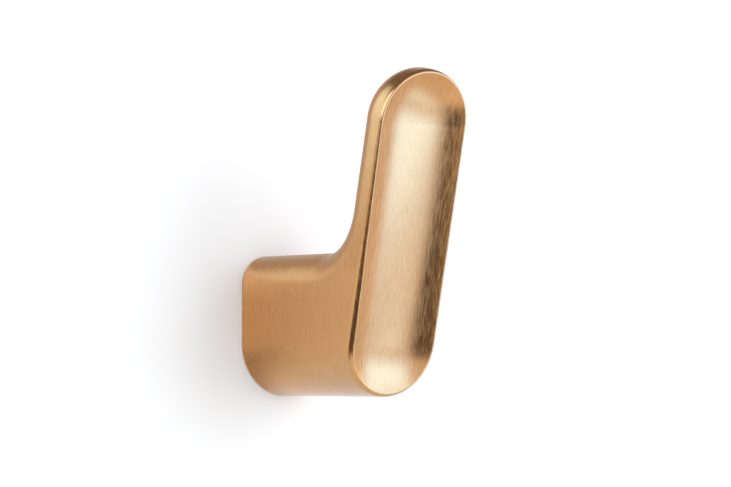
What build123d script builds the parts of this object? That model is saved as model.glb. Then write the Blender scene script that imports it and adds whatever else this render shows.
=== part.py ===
from build123d import *
from math import atan, cos, degrees, radians, sin, tan
import os

# Driving dimensions of the hook, in millimetres and degrees
width = 22.0                # across the flat sides
post_height = 29.6          # wall end, from the round underside to the flat top
reach = 36.6                # wall face to the lowest point of the front
front_length = 67.6         # front, measured up its own slope
lean = 13.4                 # slope of the front, its top away from the wall
bend_radius = 11.5          # inner bend between post and arm, where a loop hangs
edge_round = 6.3            # soft edge along the post top, the bend and the arm back
front_round = 1.6           # soft edge around the front
side_flat = 1.5             # flat strip left on the arm's side between the two soft edges
wall_round = 0.25           # softened edge against the wall

# Dish in the front, a little more upright than the front itself
dish_setback = 0.95         # how far the dish's plane lies behind the front at the top
dish_depth = 2.2            # deepest line below the dish's plane
dish_side_border = 1.05     # from the hook's side to the dish, in the dish's plane
dish_low_border = 0.1       # the same at the low end
dish_top_border = 1.55      # the same at the top end
rim_round = 0.3             # softened crest between the dish and the front's soft edge

# Blind hole in the wall face for the fixing screw, as wide as the screw's thread
thread_size = 4.0
mouth_chamfer = 0.4         # countersunk mouth
hole_depth = 16.0           # to the end of the full bore
drill_point = 118.0         # angle of the hole's end

half_width = width / 2
half_post = post_height / 2
arm_thickness = edge_round + side_flat + front_round
dish_lean = lean - degrees(atan(dish_setback / front_length))


# Plane through the lowest point of the front, facing the room, its y axis up the slope
def sloped_plane(angle):
    facing = (0, -cos(radians(angle)), -sin(radians(angle)))
    return Plane(origin=(0, -reach, -half_post), x_dir=(1, 0, 0), z_dir=facing)


front_plane = sloped_plane(lean)
dish_plane = sloped_plane(dish_lean)


# Point of the side outline in Y and Z, from its place up the front and its depth behind it
def side_point(up, behind):
    point = front_plane.from_local_coords((0, up, -behind))
    return (point.Y, point.Z)


# Where the back of the arm would meet the post top if the bend were sharp
bend_height = (post_height - arm_thickness * sin(radians(lean))) / cos(radians(lean))
bend_corner = side_point(bend_height, arm_thickness)

# Cutting shape of the dish: a slot turned about its long axis, which cuts a groove with ball ends
dish_half_width = half_width - dish_side_border
dish_radius = (dish_half_width**2 + dish_depth**2) / (2 * dish_depth)
dish_low = dish_low_border + dish_half_width
dish_top = front_length - dish_top_border - dish_half_width
groove_plane = dish_plane.offset(dish_radius - dish_depth)
with BuildPart() as dish_tool:
    with BuildSketch(groove_plane):
        with Locations((0, (dish_low + dish_top) / 2)):
            SlotCenterToCenter(dish_top - dish_low, 2 * dish_radius, rotation=90)
        split(bisect_by=Plane.YZ)
    revolve(axis=Axis(groove_plane.origin, groove_plane.y_dir))

with BuildPart() as hook:
    # Post and leaning arm in one side outline, drawn wider than the hook
    with BuildSketch(Plane.YZ) as outline:
        with BuildLine():
            Polyline(
                (0, -half_post),
                (0, half_post),
                bend_corner,
                side_point(front_length, arm_thickness),
                side_point(front_length, 0),
                side_point(0, 0),
                close=True,
            )
        make_face()
        fillet(outline.vertices().sort_by_distance(bend_corner)[0], bend_radius)
    extrude(amount=width, both=True)

    # Flat sides and a half-round underside, straight out from the wall
    with BuildSketch(Plane.XZ):
        with Locations((0, half_width - half_post)):
            Circle(half_width)
            Rectangle(width, post_height + front_length, align=(Align.CENTER, Align.MIN))
    extrude(amount=reach + front_length, mode=Mode.INTERSECT)

    # Half-round top, square to the front
    with BuildSketch(front_plane):
        with Locations((0, front_length - half_width)):
            Circle(half_width)
            Rectangle(width, post_height + front_length, align=(Align.CENTER, Align.MAX))
    extrude(amount=-(reach + front_length), mode=Mode.INTERSECT)

    # One soft edge from the wall along the post top, round the bend, over the arm and back
    arm_back = hook.faces().filter_by(front_plane).sort_by(Axis.Y)[-1]
    post_top = hook.faces().filter_by(Plane.XY).sort_by(Axis.Z)[-1]
    bend = hook.faces().filter_by(GeomType.CYLINDER).sort_by_distance((0, *bend_corner))[0]
    fillet((post_top.edges() + bend.edges() + arm_back.edges()).filter_by(Axis.X, reverse=True), edge_round)

    # Soft edge around the front, then the dish, which leaves a narrow crest as its rim
    front = hook.faces().filter_by(front_plane).sort_by(Axis.Y)[0]
    fillet(front.edges(), front_round)
    add(dish_tool.part, mode=Mode.SUBTRACT)
    fillet(hook.edges(Select.NEW).filter_by(GeomType.CIRCLE, reverse=True), rim_round)

    # Softened edge against the wall
    wall_face = hook.faces().sort_by(Axis.Y)[-1]
    fillet(wall_face.edges(), wall_round)

    # Screw hole with a countersunk mouth and a drill point
    hole_radius = thread_size / 2
    point_depth = hole_radius / tan(radians(drill_point / 2))
    with BuildSketch(Plane.YZ):
        with BuildLine():
            Polyline(
                (0, 0),
                (0, hole_radius + mouth_chamfer),
                (-mouth_chamfer, hole_radius),
                (-hole_depth, hole_radius),
                (-hole_depth - point_depth, 0),
                close=True,
            )
        make_face()
    revolve(axis=Axis.Y, mode=Mode.SUBTRACT)

hook.part.label = "hook_body"
os.makedirs("parts", exist_ok=True)
export_step(hook.part, "parts/hook_body.step")
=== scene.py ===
import bmesh
import bpy
import math
from mathutils import Matrix, Vector


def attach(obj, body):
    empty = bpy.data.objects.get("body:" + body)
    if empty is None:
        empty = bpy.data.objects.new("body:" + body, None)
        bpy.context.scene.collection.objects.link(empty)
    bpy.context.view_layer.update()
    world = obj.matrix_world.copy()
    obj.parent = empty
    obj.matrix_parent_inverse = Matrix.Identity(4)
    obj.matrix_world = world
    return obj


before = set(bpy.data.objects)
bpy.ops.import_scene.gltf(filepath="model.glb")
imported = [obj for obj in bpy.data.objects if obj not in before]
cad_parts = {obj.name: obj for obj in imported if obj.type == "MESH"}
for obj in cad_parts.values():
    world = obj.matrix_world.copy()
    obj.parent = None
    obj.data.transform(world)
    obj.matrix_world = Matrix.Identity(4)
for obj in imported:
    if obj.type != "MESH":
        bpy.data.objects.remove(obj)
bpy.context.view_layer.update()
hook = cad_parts["hook_body"]
mm = 0.001


def linear(hexColour):  # sRGB hex to the linear colour that the shaders take
    parts = [int(hexColour[i:i + 2], 16) / 255 for i in (1, 3, 5)]
    return tuple(c / 12.92 if c <= 0.04045 else ((c + 0.055) / 1.055) ** 2.4 for c in parts) + (1.0,)


def addNode(tree, kind, settings=None, links=None):  # one node, its settings and what feeds it
    node = tree.nodes.new(kind)
    for name, value in (settings or {}).items():
        if isinstance(name, int) or name in node.inputs:
            node.inputs[name].default_value = value
        else:
            setattr(node, name, value)
    for name, source in (links or {}).items():
        tree.links.new(source, node.inputs[name])
    return node


def newMaterial(name):
    material = bpy.data.materials.new(name)
    material.use_nodes = True
    material.node_tree.nodes.clear()
    return material, material.node_tree


# Zinc casting, plated bronze, brushed along its length and lacquered satin: a warm metal whose fine
# lines draw every highlight out sideways, a little lighter where the brush bit harder
bronzeLook = {
    "metal": "#D69F68",
    "metalDark": "#BA8A5A",
    "toneSpan": (0.35, 1.0),    # noise at which the plating is darkest and lightest
    "patchSize": 14.0,          # mm, slow change of tone in the plating
    "patchShare": 0.35,         # of the tone, beside the lines' share of 1
    "lean": 13.4,               # degrees, the front's slope, which the brushing on the front follows
    "lineWidth": 0.14,          # mm, real lines are under 0.1 mm and would not show
    "lineLength": 2.6,          # mm
    "lineDetail": 1.5,
    "lineSpan": (0.3, 0.7),     # noise at the foot and at the crest of a line
    "lineHeight": 0.008,        # mm
    "sideSpan": (0.55, 0.85),   # sideways part of the normal over which upright lines take over
    "roughness": 0.22,
    "roughnessSwing": 0.12,
    "anisotropy": 0.30,
    "lacquer": 0.05,
    "lacquerRoughness": 0.25,
}


def makeBronze(look):
    material, tree = newMaterial("brushedBronzePlating")
    coords = addNode(tree, "ShaderNodeTexCoord").outputs["Object"]
    normal = addNode(tree, "ShaderNodeNewGeometry").outputs["Normal"]
    fine, slow = 1 / (look["lineWidth"] * mm), 1 / (look["lineLength"] * mm)

    # lines up the slope on the front, back and top, upright lines on the flat sides
    slope = (-math.radians(look["lean"]), 0, 0)
    frontPlace = addNode(tree, "ShaderNodeMapping", {"Rotation": slope, "Scale": (fine, slow, slow)},
                         {"Vector": coords})
    frontLines = addNode(tree, "ShaderNodeTexNoise", {"Scale": 1.0, "Detail": look["lineDetail"]},
                         {"Vector": frontPlace.outputs[0]})
    sidePlace = addNode(tree, "ShaderNodeMapping", {"Scale": (slow, fine, slow)}, {"Vector": coords})
    sideLines = addNode(tree, "ShaderNodeTexNoise", {"Scale": 1.0, "Detail": look["lineDetail"]},
                        {"Vector": sidePlace.outputs[0]})
    facing = addNode(tree, "ShaderNodeSeparateXYZ", None, {"Vector": normal})
    sideways = addNode(tree, "ShaderNodeMath", {"operation": "ABSOLUTE"}, {0: facing.outputs["X"]})
    onSide = addNode(tree, "ShaderNodeMapRange",
                     {"From Min": look["sideSpan"][0], "From Max": look["sideSpan"][1],
                      "interpolation_type": "SMOOTHSTEP"}, {"Value": sideways.outputs[0]})
    either = addNode(tree, "ShaderNodeMix", {"data_type": "FLOAT"},
                     {"Factor": onSide.outputs[0], 2: frontLines.outputs[0], 3: sideLines.outputs[0]})
    lines = either.outputs[0]

    # the tone goes with the lines and with slow patches
    patches = addNode(tree, "ShaderNodeTexNoise", {"Scale": 1 / (look["patchSize"] * mm)}, {"Vector": coords})
    tone = addNode(tree, "ShaderNodeMath", {"operation": "MULTIPLY_ADD", 1: look["patchShare"]},
                   {0: patches.outputs[0], 2: lines})
    lightness = addNode(tree, "ShaderNodeMapRange",
                        {"From Min": look["toneSpan"][0], "From Max": look["toneSpan"][1]},
                        {"Value": tone.outputs[0]})
    colour = addNode(tree, "ShaderNodeMix",
                     {"data_type": "RGBA", 6: linear(look["metalDark"]), 7: linear(look["metal"])},
                     {"Factor": lightness.outputs[0]})
    rough = addNode(tree, "ShaderNodeMapRange",
                    {"From Min": look["lineSpan"][0], "From Max": look["lineSpan"][1],
                     "To Min": look["roughness"] - look["roughnessSwing"] / 2,
                     "To Max": look["roughness"] + look["roughnessSwing"] / 2}, {"Value": lines})
    bump = addNode(tree, "ShaderNodeBump", {"Strength": 1.0, "Distance": look["lineHeight"] * mm},
                   {"Height": lines})

    # highlights spread level, square to the lines; a little along X keeps this from being zero on level faces
    level = addNode(tree, "ShaderNodeVectorMath", {"operation": "CROSS_PRODUCT", 0: (0, 0, 1)}, {1: normal})
    tangent = addNode(tree, "ShaderNodeVectorMath", {"operation": "ADD", 1: (0.001, 0, 0)},
                      {0: level.outputs[0]})

    shader = addNode(tree, "ShaderNodeBsdfPrincipled",
                     {"Metallic": 1.0, "Anisotropic": look["anisotropy"], "Coat Weight": look["lacquer"],
                      "Coat Roughness": look["lacquerRoughness"]},
                     {"Base Color": colour.outputs[2], "Roughness": rough.outputs[0],
                      "Normal": bump.outputs[0], "Tangent": tangent.outputs[0]})
    addNode(tree, "ShaderNodeOutputMaterial", None, {"Surface": shader.outputs[0]})
    return material


bronze = makeBronze(bronzeLook)
hook.data.materials.clear()
hook.data.materials.append(bronze)
print("hook finished in", bronze.name)


# M4 thread cut in the fixing hole: a ridge that winds down the bore, in millimetres
threadSizes = {"pitch": 0.7, "rootRadius": 2.03, "crestRadius": 1.65, "rootWidth": 0.60, "crestWidth": 0.14,
               "start": 0.7, "turns": 20, "stepsPerTurn": 32}


def makeThread(sizes):
    bm = bmesh.new()
    root, crest = sizes["rootWidth"] / 2, sizes["crestWidth"] / 2
    profile = [(-root, sizes["rootRadius"]), (-crest, sizes["crestRadius"]),
               (crest, sizes["crestRadius"]), (root, sizes["rootRadius"])]
    corners = [bm.verts.new((0, (along - sizes["start"]) * mm, radius * mm)) for along, radius in profile]
    section = [bm.edges.new((corners[i], corners[(i + 1) % 4])) for i in range(4)]
    wound = bmesh.ops.spin(bm, geom=corners + section, cent=(0, 0, 0), axis=(0, 1, 0),
                           dvec=(0, -sizes["pitch"] * mm / sizes["stepsPerTurn"], 0),
                           angle=2 * math.pi * sizes["turns"], steps=sizes["turns"] * sizes["stepsPerTurn"])
    bmesh.ops.contextual_create(bm, geom=section)
    bmesh.ops.contextual_create(bm, geom=[g for g in wound["geom_last"] if isinstance(g, bmesh.types.BMEdge)])
    bmesh.ops.recalc_face_normals(bm, faces=bm.faces[:])
    mesh = bpy.data.meshes.new("fixingThread")
    bm.to_mesh(mesh)
    bm.free()
    piece = bpy.data.objects.new("fixingThread", mesh)
    bpy.context.scene.collection.objects.link(piece)
    return piece


thread = makeThread(threadSizes)
thread.data.materials.append(bronze)
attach(thread, "root")
print("thread wound,", len(thread.data.polygons), "faces")


# Studio, in metres: a white wall that the hook is fixed to, a pale floor, soft lights, cards and cloths
studio = {
    "white": "#F8F9F8",
    "room": "#FFFDFA",           # the pale room all round
    "roomLevels": (0.82, 1.02),  # as it lights the wall, and as the metal shows it
    "wallTop": 0.60,
    "wallSplit": 0.012,          # above this height the metal shows what stands behind the wall
    "wallSpread": 70,            # the wall's outline, in times its opening
    "wallGap": 0.0001,           # from the hook's back to the wall
    "postSlice": -0.018,         # where the post is cut for the outline of the opening
    "openingShare": (0.95, 0.96),  # of that outline across and up, so that the post hides the opening
    "mergeGap": 0.000001,        # corners of the hook's loose triangles this close are one
    "floorHeight": -0.30,
    "floorFront": -0.28,
    "floorHalf": 0.8,            # half of its side
    "cardSteps": 24,             # round a bent card
    "middle": (0.0, -0.025, 0.012),
    # azimuth from and to, elevation from and to, distance, level, colour
    "keyRight": (10, 56, -12, 48, 0.8, 1.78, "#F4F7FF"),
    "fillRight": (70, 100, -2, 45, 0.8, 1.18, "#E4EEFF"),
    "softLeft": (-92, -62, 6, 50, 0.30, 2.18, "#C4DAFF"),
}


def towards(azimuth, elevation):  # azimuth 0 is straight out from the wall, positive to the right
    a, e = math.radians(azimuth), math.radians(elevation)
    return Vector((math.sin(a) * math.cos(e), -math.cos(a) * math.cos(e), math.sin(e)))


def addStage(name, bm, material):  # scenery that isn't part of the hook
    mesh = bpy.data.meshes.new(name)
    bm.to_mesh(mesh)
    bm.free()
    mesh.materials.append(material)
    piece = bpy.data.objects.new(name, mesh)
    bpy.context.scene.collection.objects.link(piece)
    return piece


def softLight(name):
    azimuthFrom, azimuthTo, elevationFrom, elevationTo, distance, level, colour = studio[name]
    outward = towards((azimuthFrom + azimuthTo) / 2, (elevationFrom + elevationTo) / 2)
    lamp = bpy.data.lights.new(name, "AREA")
    lamp.shape = "RECTANGLE"
    lamp.size = 2 * distance * math.tan(math.radians(azimuthTo - azimuthFrom) / 2)
    lamp.size_y = 2 * distance * math.tan(math.radians(elevationTo - elevationFrom) / 2)
    lamp.energy = level * math.pi * lamp.size * lamp.size_y  # as bright for any size
    lamp.color = [c / linear(colour)[1] for c in linear(colour)[:3]]
    light = bpy.data.objects.new(name, lamp)
    light.location = Vector(studio["middle"]) + outward * distance
    light.rotation_euler = (-outward).to_track_quat("-Z", "Y").to_euler()
    light.visible_camera = False
    bpy.context.scene.collection.objects.link(light)


def paint(name, colour, seeThroughBehind=False):  # matt emulsion: plain, with no shine at all
    material, tree = newMaterial(name)
    surface = addNode(tree, "ShaderNodeBsdfDiffuse", {"Color": linear(colour)})
    if seeThroughBehind:  # the hook's back can be looked at through the wall
        behind = addNode(tree, "ShaderNodeNewGeometry").outputs["Backfacing"]
        clear = addNode(tree, "ShaderNodeBsdfTransparent")
        surface = addNode(tree, "ShaderNodeMixShader", None,
                          {0: behind, 1: surface.outputs[0], 2: clear.outputs[0]})
    addNode(tree, "ShaderNodeOutputMaterial", None, {"Surface": surface.outputs[0]})
    return material


def onlyReflected(piece):  # seen by the metal alone, so the wall and the picture stay plain
    piece.visible_camera = piece.visible_diffuse = piece.visible_shadow = False


def addFade(tree, shader):  # clear where the mesh's fade is 0, so that a card or cloth has soft edges
    fade = addNode(tree, "ShaderNodeAttribute", {"attribute_name": "fade"}).outputs["Fac"]
    clear = addNode(tree, "ShaderNodeBsdfTransparent")
    faded = addNode(tree, "ShaderNodeMixShader", None, {0: fade, 1: clear.outputs[0], 2: shader.outputs[0]})
    addNode(tree, "ShaderNodeOutputMaterial", None, {"Surface": faded.outputs[0]})


# Dark and grey cards with soft edges, each shown in the metal in its own colour
cards = {
    # bent, rows from below: elevation at the first and at the last azimuth, and how far the card covers there
    # the front one is the dark band in the dish, the left one the dark line along the front's left edge
    "cardFront": {"colour": "#3C2F27", "azimuths": (12, -12), "distance": 0.8,
                  "rows": ((-37, -38, 0.0), (-27, -28, 1.0), (-17, -16, 1.0), (-12, -10, 0.0))},
    "cardLeft": {"colour": "#5C5049", "azimuths": (-28, -112), "distance": 0.8,
                 "rows": ((-40, -42, 0.0), (-29, -32, 1.0), (-14, -6, 1.0), (-7, 2, 0.0))},
    "cardBehind": {"colour": "#D8D2CC", "azimuths": (95, 265), "distance": 0.9,
                   "rows": ((-4, -4, 0.0), (4, 4, 1.0), (46, 46, 1.0), (54, 54, 0.0))},
    # round: elevation at which it is full and at which it ends
    "cardTop": {"colour": "#8E8782", "height": 0.45, "elevations": (48, 34), "segments": 48},
}


def makeCard(name, sizes):  # these give the metal its dark reflections
    material, tree = newMaterial(name + "Paper")
    addFade(tree, addNode(tree, "ShaderNodeEmission", {"Color": linear(sizes["colour"])}))
    bm = bmesh.new()
    fade = bm.verts.layers.float.new("fade")
    if "rows" in sizes:  # bent round the hook
        azimuths, rows, distance = sizes["azimuths"], sizes["rows"], sizes["distance"]
        start = towards(azimuths[0], 0) * distance
        column = [bm.verts.new((start.x, start.y, row)) for row in range(len(rows))]
        edges = [bm.edges.new(pair) for pair in zip(column, column[1:])]
        bmesh.ops.spin(bm, geom=column + edges, cent=(0, 0, 0), axis=(0, 0, 1),
                       angle=math.radians(azimuths[1] - azimuths[0]), steps=studio["cardSteps"])
        for vert in bm.verts:
            first, last, vert[fade] = rows[round(vert.co.z)]
            azimuth = math.degrees(math.atan2(vert.co.x, -vert.co.y))
            turned = (azimuth - azimuths[0]) / (azimuths[1] - azimuths[0])
            vert.co.z = distance * math.tan(math.radians(first + (last - first) * turned))
    else:  # round and level, above the hook
        full, end = [sizes["height"] / math.tan(math.radians(e)) for e in sizes["elevations"]]
        disc = bmesh.ops.create_circle(bm, cap_ends=True, segments=sizes["segments"], radius=full)
        for vert in disc["verts"]:
            vert[fade] = 1.0
        edge = bmesh.ops.extrude_edge_only(bm, edges=bm.edges[:])["geom"]
        rim = [g for g in edge if isinstance(g, bmesh.types.BMVert)]
        bmesh.ops.scale(bm, vec=(end / full, end / full, 1), verts=rim)
        for vert in rim:
            vert[fade] = 0.0
        bmesh.ops.translate(bm, vec=(0, 0, sizes["height"]), verts=bm.verts[:])
    bmesh.ops.translate(bm, vec=studio["middle"], verts=bm.verts[:])
    onlyReflected(addStage(name, bm, material))


# Cloths that glow: white where a lamp behind them gives no share, brighter and tinted where it does
glowCloths = {
    # across and up: place in metres, how far the cloth covers there, share of the lamp there
    # the glow in the dish's length and at its low end
    "scrimRight": {"middle": (0.0, -0.042, 0.0), "azimuth": 38, "distance": 0.20,
                   "across": ((-0.112, 0.0, 0.1), (-0.105, 1.0, 0.2), (-0.072, 1.0, 1.0), (0.085, 1.0, 1.0),
                              (0.125, 0.0, 0.6)),
                   "up": ((-0.085, 0.0, 0.22), (-0.070, 1.0, 0.22), (-0.055, 1.0, 0.27), (-0.036, 1.0, 0.60),
                          (-0.020, 1.0, 1.0), (0.022, 1.0, 1.0), (0.050, 1.0, 0.55), (0.25, 1.0, 0.1)),
                   "white": 1.0, "hot": 2.0, "colour": "#6CB0FF"},
    # the glow at its top end
    "scrimLow": {"middle": (0.0, -0.042, 0.0), "azimuth": 42, "distance": 0.30,
                 "across": ((-0.165, 0.0, 0.2), (-0.125, 1.0, 0.3), (-0.06, 1.0, 1.0), (0.12, 1.0, 1.0),
                            (0.18, 0.0, 0.5)),
                 "up": ((-0.225, 0.0, 0.3), (-0.17, 1.0, 0.75), (-0.145, 1.0, 1.0), (-0.11, 1.0, 1.0),
                        (-0.05, 1.0, 0.42)),
                 "white": 1.0, "hot": 1.45, "colour": "#7CBCFF"},
    # light from low on the left, at the gold ends of the dish
    "bounceLow": {"middle": (0.0, -0.042, 0.0), "azimuth": -25, "distance": 0.30,
                  "across": ((-0.42, 0.0, 0.0), (-0.30, 1.0, 0.0), (0.25, 1.0, 0.0), (0.33, 0.0, 0.0)),
                  "up": ((-0.90, 0.0, 0.0), (-0.70, 1.0, 0.0), (-0.29, 1.0, 0.0), (-0.23, 0.0, 0.0)),
                  "white": 1.2, "hot": 0.0, "colour": "#FFFFFF"},
    # bright room behind and beside the wall, and painted light on the wall left of the hook, in the arm's
    # side and soft edges
    "glowLeft": {"middle": (0.0, 0.0, 0.0), "azimuth": 180, "distance": 0.3,
                 "across": ((0.095, 0.0, 0.0), (0.15, 0.65, 0.1), (0.22, 1.0, 1.0), (1.0, 1.0, 1.0)),
                 "up": ((0.0, 0.0, 0.1), (0.08, 1.0, 0.17), (0.20, 1.0, 0.5), (0.30, 1.0, 1.0),
                        (0.40, 1.0, 0.5), (0.60, 0.0, 0.1)),
                 "white": 1.08, "hot": 1.3, "colour": "#A4DCFF"},
    # a painted pool of light on the wall, left of and above the post
    "paintedWallLight": {"middle": (0.0, -0.003, 0.0), "azimuth": 0, "distance": 0.0,
                 "across": ((-0.30, 0.0, 1.0), (-0.16, 1.0, 1.0), (-0.038, 1.0, 1.0), (-0.022, 0.0, 1.0)),
                 "up": ((0.018, 0.0, 0.31), (0.036, 1.0, 0.48), (0.06, 1.0, 0.82), (0.08, 1.0, 1.0),
                        (0.11, 1.0, 0.66), (0.13, 0.0, 0.41)),
                 "white": 0.92, "hot": 1.25, "colour": "#A4DCFF"},
    # close on the wall, for the metal alone: painted shade beside the post, warmed by painted light from the
    # post
    "paintedShadeAndBounce": {"middle": (0.0, -0.0004, 0.0), "azimuth": 0, "distance": 0.0,
                 "across": ((-0.034, 0.0, 1.0), (-0.020, 0.6, 1.0), (-0.012, 1.0, 1.0), (-0.008, 1.0, 1.0)),
                 "up": ((-0.008, 0.0, 1.0), (-0.002, 0.9, 1.0), (0.012, 1.0, 1.0)),
                 "white": 0.61, "hot": 0.12, "colour": "#FFBC00"},
    # a painted band of light on the wall left of the post, at the height of the wall's split
    "paintedLightBand": {"middle": (0.0, -0.0005, 0.0), "azimuth": 0, "distance": 0.0,
                 "across": ((-0.034, 0.0, 1.0), (-0.020, 0.7, 1.0), (-0.012, 1.0, 1.0), (-0.008, 1.0, 1.0)),
                 "up": ((0.0055, 0.0, 1.0), (0.0105, 1.0, 1.0), (0.012, 1.0, 1.0), (0.0135, 0.0, 1.0)),
                 "white": 1.0, "hot": 0.04, "colour": "#FFBC00"},
    # a painted shadow low on the wall, left of the post
    "paintedContactShadow": {"middle": (0.0, -0.0006, 0.0), "azimuth": 0, "distance": 0.0,
                  "across": ((-0.024, 0.0, 1.0), (-0.016, 0.45, 1.0), (-0.012, 0.95, 1.0),
                             (-0.005, 0.95, 1.0)),
                  "up": ((-0.017, 0.0, 1.0), (-0.009, 1.0, 1.0), (-0.008, 1.0, 1.0), (-0.0045, 0.0, 1.0)),
                  "white": 0.39, "hot": 0.08, "colour": "#FFBC00"},
    # painted cool light on the wall below the hook, which the metal reflects
    "paintedCoolLight": {"middle": (0.0, -0.0008, 0.0), "azimuth": 0, "distance": 0.0,
                 "across": ((-0.25, 0.0, 1.0), (-0.15, 1.0, 1.0), (0.10, 1.0, 1.0), (0.20, 0.0, 1.0)),
                 "up": ((-0.25, 0.0, 1.0), (-0.20, 1.0, 1.0), (-0.028, 1.0, 1.0), (-0.015, 0.0, 1.0)),
                 "white": 0.94, "hot": 0.11, "colour": "#00BCFF"},
}


def makeCloth(name, sizes):  # these give the metal its light reflections
    sideways = towards(sizes["azimuth"] + 90, 0)
    centre = Vector(sizes["middle"]) + towards(sizes["azimuth"], 0) * sizes["distance"]
    bm = bmesh.new()
    for key in ("fade", "lampShare"):
        bm.verts.layers.float.new(key)
    fade, share = bm.verts.layers.float["fade"], bm.verts.layers.float["lampShare"]
    strip = [bm.verts.new(centre + sideways * stop[0]) for stop in sizes["across"]]
    row = [bm.edges.new(pair) for pair in zip(strip, strip[1:])]
    for _ in sizes["up"][1:]:
        grown = bmesh.ops.extrude_edge_only(bm, edges=row)["geom"]
        row = [g for g in grown if isinstance(g, bmesh.types.BMEdge)]
    for index, vert in enumerate(bm.verts):
        height, coverUp, shareUp = sizes["up"][index // len(strip)]
        coverAcross, shareAcross = sizes["across"][index % len(strip)][1:]
        vert[fade] = coverAcross * coverUp
        vert[share] = shareAcross * shareUp
        vert.co.z += height

    material, tree = newMaterial(name + "Glow")
    white, tint = sizes["white"], linear(sizes["colour"])
    lit = [white + sizes["hot"] * part / tint[1] for part in tint[:3]] + [1.0]
    lamp = addNode(tree, "ShaderNodeAttribute", {"attribute_name": "lampShare"}).outputs["Fac"]
    unlit = [white] * 3 + [1.0]
    glow = addNode(tree, "ShaderNodeMix", {"data_type": "RGBA", 6: unlit, 7: lit}, {"Factor": lamp})
    addFade(tree, addNode(tree, "ShaderNodeEmission", None, {"Color": glow.outputs[2]}))
    onlyReflected(addStage(name, bm, material))


def makeWall(name, low, high, material):  # open behind the post, so that the hook's back can be looked at
    bm = bmesh.new()
    bm.from_mesh(hook.data)
    bmesh.ops.remove_doubles(bm, verts=bm.verts[:], dist=studio["mergeGap"])
    cut = bmesh.ops.bisect_plane(bm, geom=bm.verts[:] + bm.edges[:] + bm.faces[:],
                                 plane_co=(0, studio["postSlice"], 0), plane_no=(0, 1, 0))["geom_cut"]
    outline = [g for g in cut if isinstance(g, bmesh.types.BMEdge)]
    bmesh.ops.delete(bm, geom=bm.faces[:], context="FACES_ONLY")
    bmesh.ops.delete(bm, geom=[e for e in bm.edges if e not in outline], context="EDGES")
    bmesh.ops.delete(bm, geom=[v for v in bm.verts if not v.link_edges], context="VERTS")
    acrossShare, upShare = studio["openingShare"]
    bmesh.ops.scale(bm, vec=(acrossShare, 0, upShare), verts=bm.verts[:])
    outer = bmesh.ops.extrude_edge_only(bm, edges=bm.edges[:])["geom"]
    bmesh.ops.scale(bm, vec=(studio["wallSpread"], 1, studio["wallSpread"]),
                    verts=[g for g in outer if isinstance(g, bmesh.types.BMVert)])
    for height, upwards in ((high, 1), (low, -1)):
        bmesh.ops.bisect_plane(bm, geom=bm.verts[:] + bm.edges[:] + bm.faces[:], plane_co=(0, 0, height),
                               plane_no=(0, 0, upwards), clear_outer=True)
    bmesh.ops.translate(bm, vec=(0, studio["wallGap"], 0), verts=bm.verts[:])
    for face in bm.faces:
        face.normal_update()
    bmesh.ops.reverse_faces(bm, faces=[f for f in bm.faces if f.normal.y > 0])
    return addStage(name, bm, material)


def makeFloor():
    bm = bmesh.new()
    bmesh.ops.create_grid(bm, x_segments=1, y_segments=1, size=studio["floorHalf"])
    place = (0, studio["floorHalf"] + studio["floorFront"], studio["floorHeight"])
    bmesh.ops.translate(bm, vec=place, verts=bm.verts[:])
    addStage("floor", bm, paint("whiteFloorPaint", studio["white"])).visible_glossy = False


def makeWorld():
    world = bpy.data.worlds.new("paleStudio")
    bpy.context.scene.world = world
    world.use_nodes = True
    tree = world.node_tree
    tree.nodes.clear()
    onWall, inMetal = studio["roomLevels"]
    path = addNode(tree, "ShaderNodeLightPath").outputs
    lit = addNode(tree, "ShaderNodeMapRange", {"To Min": onWall, "To Max": inMetal},
                  {"Value": path["Is Glossy Ray"]})
    level = addNode(tree, "ShaderNodeMix", {"data_type": "FLOAT", 3: 1.0},  # the picture shows it as written
                    {"Factor": path["Is Camera Ray"], 2: lit.outputs[0]})
    sky = addNode(tree, "ShaderNodeBackground", {"Color": linear(studio["room"])},
                  {"Strength": level.outputs[0]})
    addNode(tree, "ShaderNodeOutputWorld", None, {"Surface": sky.outputs[0]})


wallPaint = paint("whiteWallPaint", studio["white"], True)
makeWall("wallLow", studio["floorHeight"], studio["wallSplit"], wallPaint)
makeWall("wallHigh", studio["wallSplit"], studio["wallTop"], wallPaint).visible_glossy = False
makeFloor()
makeWorld()
for cardName, cardSizes in cards.items():
    makeCard(cardName, cardSizes)
for clothName, clothSizes in glowCloths.items():
    makeCloth(clothName, clothSizes)
for lightName in ("keyRight", "fillRight", "softLeft"):
    softLight(lightName)
print("studio set")


# Camera at the photograph's place, in millimetres: a long lens a little below the hook, from its left
cameraSizes = {"place": (-399.12, -571.24, -8.44), "aim": (1.80, -26.71, 16.89), "lens": 160.88,
               "sensor": 36.0, "near": 10.0, "far": 20000.0}


def makeCamera(sizes):
    data = bpy.data.cameras.new("photoCamera")
    data.lens, data.sensor_width, data.sensor_fit = sizes["lens"], sizes["sensor"], "HORIZONTAL"
    data.clip_start, data.clip_end = sizes["near"] * mm, sizes["far"] * mm
    camera = bpy.data.objects.new("photoCamera", data)
    place, aim = Vector(sizes["place"]) * mm, Vector(sizes["aim"]) * mm
    turn = (aim - place).to_track_quat("-Z", "Y").to_matrix().to_4x4()
    camera.matrix_world = Matrix.Translation(place) @ turn
    bpy.context.scene.collection.objects.link(camera)
    bpy.context.scene.camera = camera


makeCamera(cameraSizes)
bpy.context.scene.view_settings.view_transform = "Standard"
